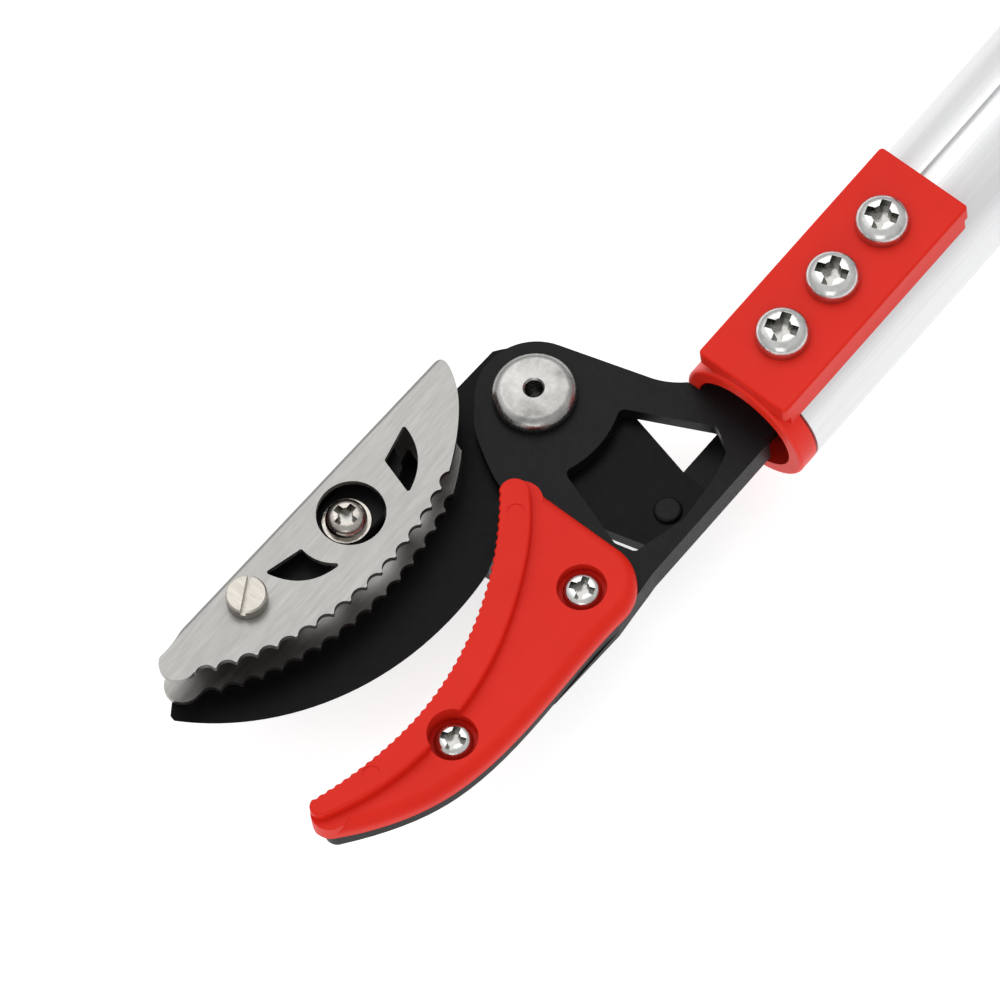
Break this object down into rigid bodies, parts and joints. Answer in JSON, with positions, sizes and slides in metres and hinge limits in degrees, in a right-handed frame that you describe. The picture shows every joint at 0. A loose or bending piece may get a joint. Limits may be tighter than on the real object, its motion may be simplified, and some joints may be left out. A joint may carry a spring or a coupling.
{
  "type": "long-reach cut-and-hold pruner",
  "caption": "Telescoping aluminium pole with a cut-and-hold bypass pruner head, sprung holding jaw, pull rods, pistol-grip trigger with latch and a clamp collar.",
  "frame": {"origin": "centre of the butt cap's end face, on the pole's axis", "axes": "+X along the pole from the butt to the cutting head; +Z square to the head's flat side, towards the screw heads; +Y towards the hook and the pistol grip"},
  "size_m": [1.1977, 0.1711, 0.0384],
  "materials": {
    "alu_outer": "satin anodised",
    "alu_inner": "satin",
    "red_plastic": "moulded",
    "black_plastic": "moulded",
    "grip_plastic": "fine texture",
    "foam": "closed cell foam",
    "black_steel": "black coated",
    "zinc_steel": "bright zinc",
    "chrome_steel": "polished",
    "rod_alloy": "drawn"
  },
  "bodies": {
    "root": {"outer_tube": "alu_outer", "end_cap": "black_plastic", "handle_front": "grip_plastic", "handle_rear": "grip_plastic", "handle_screws": "zinc_steel", "trigger_pivot": "zinc_steel", "return_spring": "zinc_steel", "rod_guide": "black_plastic", "foam_grip": "foam", "lock_collar": "black_plastic", "collar_bolt": "zinc_steel", "collar_nut": "zinc_steel", "lever_pin": "zinc_steel"},
    "lock_lever": {"lock_lever": "red_plastic"},
    "trigger": {"trigger": "red_plastic", "trigger_rod_pin": "zinc_steel"},
    "latch": {"latch_loop": "zinc_steel"},
    "rear_rod": {"rear_rod": "rod_alloy", "rod_clutch": "black_plastic"},
    "head": {"inner_tube": "alu_inner", "inner_rear_bush": "black_plastic", "head_socket": "red_plastic", "clamp_saddle": "red_plastic", "clamp_screws": "zinc_steel", "base_plate": "black_steel", "anvil_cover": "red_plastic", "anvil_screws": "zinc_steel", "pivot_bolt": "chrome_steel", "pivot_washer": "zinc_steel", "pivot_nut": "zinc_steel"},
    "blade": {"blade": "black_steel", "tail_rivet": "black_steel", "jaw_carrier": "black_steel", "post_screw": "zinc_steel", "post_washer": "zinc_steel", "jaw_screw": "zinc_steel", "jaw_spring": "zinc_steel"},
    "jaw": {"grip_jaw": "zinc_steel"},
    "front_rod": {"front_rod": "rod_alloy", "link_pin": "zinc_steel"},
    "link": {"pull_link": "black_steel"}
  },
  "joints": [
    {"name": "telescope", "type": "slide", "parent": "root", "child": "head", "axis": [1, 0, 0], "range_m": [0, 0.6]},
    {"name": "blade_pivot", "type": "hinge", "parent": "head", "child": "blade", "pos_m": [1.1125, -0.031, 0], "axis": [0, 0, 1], "range_deg": [0, 22.2], "stiffness_Nm_per_rad": 0.5, "springref_deg": -28.65},
    {"name": "jaw_pivot", "type": "hinge", "parent": "blade", "child": "jaw", "pos_m": [1.1739, -0.0423, 0], "axis": [0, 0, 1], "range_deg": [0, 5.5], "stiffness_Nm_per_rad": 0.3, "springref_deg": -17.19, "deforming": ["jaw_spring"]},
    {"name": "front_rod_slide", "type": "slide", "parent": "head", "child": "front_rod", "axis": [-1, 0, 0], "range_m": [0, 0.0125]},
    {"name": "link_pivot", "type": "hinge", "parent": "front_rod", "child": "link", "pos_m": [1.0725, -0.0004, -0.006], "axis": [0, 0, 1], "range_deg": [-2.4, 0.5]},
    {"name": "rear_rod_slide", "type": "slide", "parent": "root", "child": "rear_rod", "axis": [-1, 0, 0], "range_m": [0, 0.0125], "deforming": ["return_spring"]},
    {"name": "trigger_pivot", "type": "hinge", "parent": "root", "child": "trigger", "pos_m": [0.135, -0.021, 0], "axis": [0, 0, 1], "range_deg": [0, 33.6]},
    {"name": "latch_pivot", "type": "hinge", "parent": "root", "child": "latch", "pos_m": [0.09, 0.092, 0], "axis": [0, 0, -1], "range_deg": [0, 115]},
    {"name": "lever_pivot", "type": "hinge", "parent": "root", "child": "lock_lever", "pos_m": [0.98, -0.024, 0.012], "axis": [1, 0, 0], "range_deg": [0, 130]}
  ],
  "couplings": [
    {"joint": "front_rod_slide", "follows": "blade_pivot", "m_per_rad": 0.03014},
    {"joint": "rear_rod_slide", "follows": "blade_pivot", "m_per_rad": 0.03014},
    {"joint": "link_pivot", "follows": "blade_pivot", "ratio": -0.075},
    {"joint": "trigger_pivot", "follows": "blade_pivot", "ratio": 1.4565}
  ]
}
